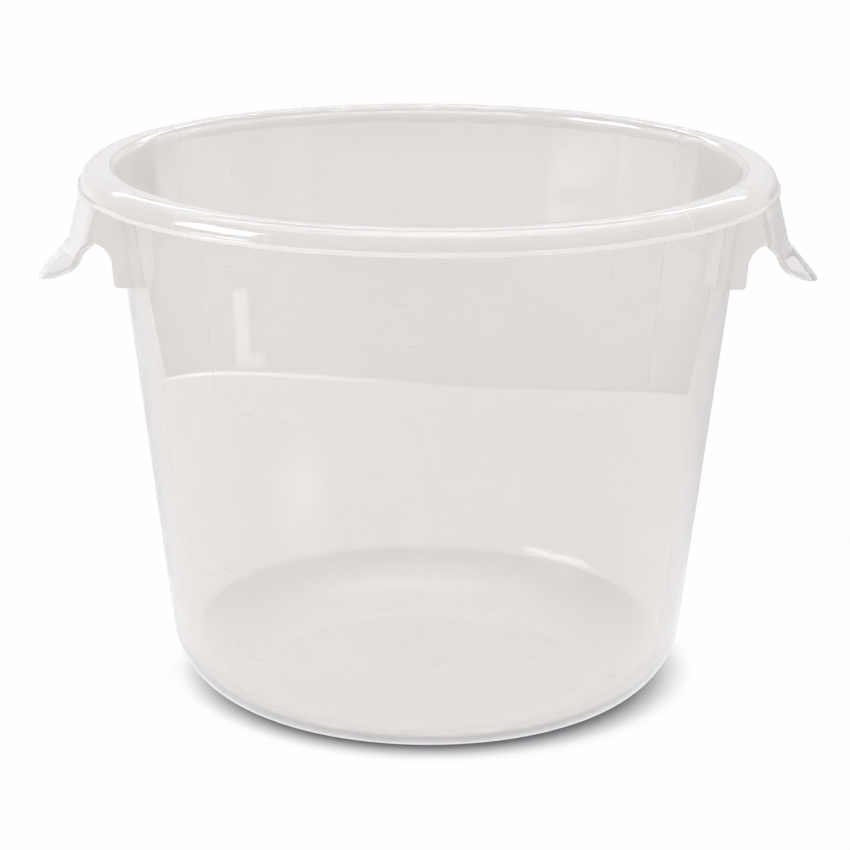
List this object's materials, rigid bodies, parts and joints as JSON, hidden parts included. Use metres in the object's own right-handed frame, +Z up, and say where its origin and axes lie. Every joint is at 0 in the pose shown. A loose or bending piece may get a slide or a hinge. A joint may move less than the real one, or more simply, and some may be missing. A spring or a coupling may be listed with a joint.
{
  "type": "dough proofing container",
  "caption": "Round open tub of milky translucent plastic with tapered wall, large heel round, turned-down snap rim and finger handles on opposite sides.",
  "frame": {"origin": "centre of the foot circle, on the surface that the tub stands on", "axes": "+Z up, X through the two handles, -Y towards the front"},
  "size_m": [0.2788, 0.2488, 0.194],
  "materials": {
    "tub_plastic": "milky translucent polypropylene, soft gloss outside and slightly duller inside, fine moulding haze and light scuffs"
  },
  "bodies": {
    "root": {"base_panel": "tub_plastic", "heel_ring": "tub_plastic", "side_wall": "tub_plastic", "rim": "tub_plastic", "left_handle_apron": "tub_plastic", "left_handle_front_web": "tub_plastic", "left_handle_rear_web": "tub_plastic", "right_handle_apron": "tub_plastic", "right_handle_front_web": "tub_plastic", "right_handle_rear_web": "tub_plastic"}
  },
  "joints": []
}
